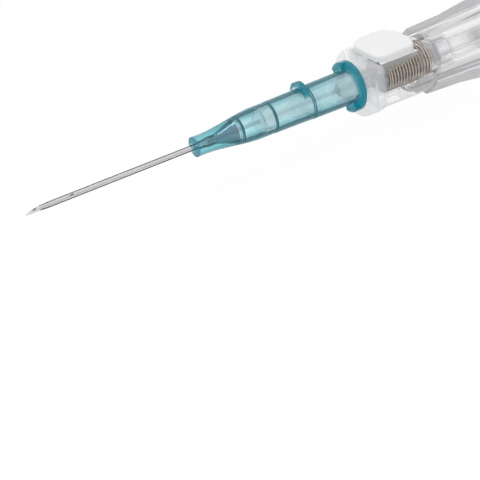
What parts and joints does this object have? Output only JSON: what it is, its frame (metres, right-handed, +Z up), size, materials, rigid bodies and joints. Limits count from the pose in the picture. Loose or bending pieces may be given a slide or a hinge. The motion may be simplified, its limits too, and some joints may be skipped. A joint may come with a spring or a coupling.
{
  "type": "intravenous cannula",
  "caption": "Push-button spring-retracting intravenous cannula: tube on a teal luer hub, steel needle, clear grip with white button and clear barrel.",
  "frame": {"origin": "on the surface it lies on, below the middle of its length, in its plane of symmetry", "axes": "+X from the needle's point to the end cap, +Z up through the button"},
  "size_m": [0.1406, 0.0116, 0.0116],
  "materials": {
    "needle_steel": "polished",
    "clear_adhesive": "clear cured resin",
    "clear_carrier": "clear moulded",
    "clear_chamber": "clear extruded",
    "porous_white": "porous",
    "spring_wire": "drawn wire",
    "tube_translucent": "smooth translucent",
    "wedge_steel": "drawn",
    "hub_teal": "translucent moulded",
    "septum_rubber": "silicone",
    "actuator_plastic": "moulded",
    "button_white": "satin moulded",
    "clear_grip": "clear moulded",
    "clear_barrel": "clear moulded",
    "clear_cap": "clear moulded"
  },
  "bodies": {
    "handle": {"grip": "clear_grip", "barrel": "clear_barrel", "end_cap": "clear_cap", "retraction_spring": "spring_wire"},
    "button": {"push_button": "button_white"},
    "carrier": {"needle": "needle_steel", "needle_adhesive": "clear_adhesive", "needle_hub": "clear_carrier", "flash_chamber": "clear_chamber", "flash_plug": "porous_white"},
    "catheter": {"catheter_tube": "tube_translucent", "tube_wedge": "wedge_steel", "catheter_hub": "hub_teal", "valve_septum": "septum_rubber"},
    "actuator": {"septum_actuator": "actuator_plastic"}
  },
  "joints": [
    {"name": "button_press", "type": "slide", "parent": "handle", "child": "button", "axis": [0, 0, -1], "range_m": [0, 0.0014]},
    {"name": "needle_retract", "type": "slide", "parent": "handle", "child": "carrier", "axis": [1, 0, 0], "range_m": [0, 0.0592], "deforming": ["retraction_spring"]},
    {"name": "catheter_advance", "type": "slide", "parent": "handle", "child": "catheter", "axis": [-1, 0, 0], "range_m": [0, 0.06]},
    {"name": "actuator_push", "type": "slide", "parent": "catheter", "child": "actuator", "axis": [-1, 0, 0], "range_m": [0, 0.002], "deforming": ["valve_septum"]}
  ]
}
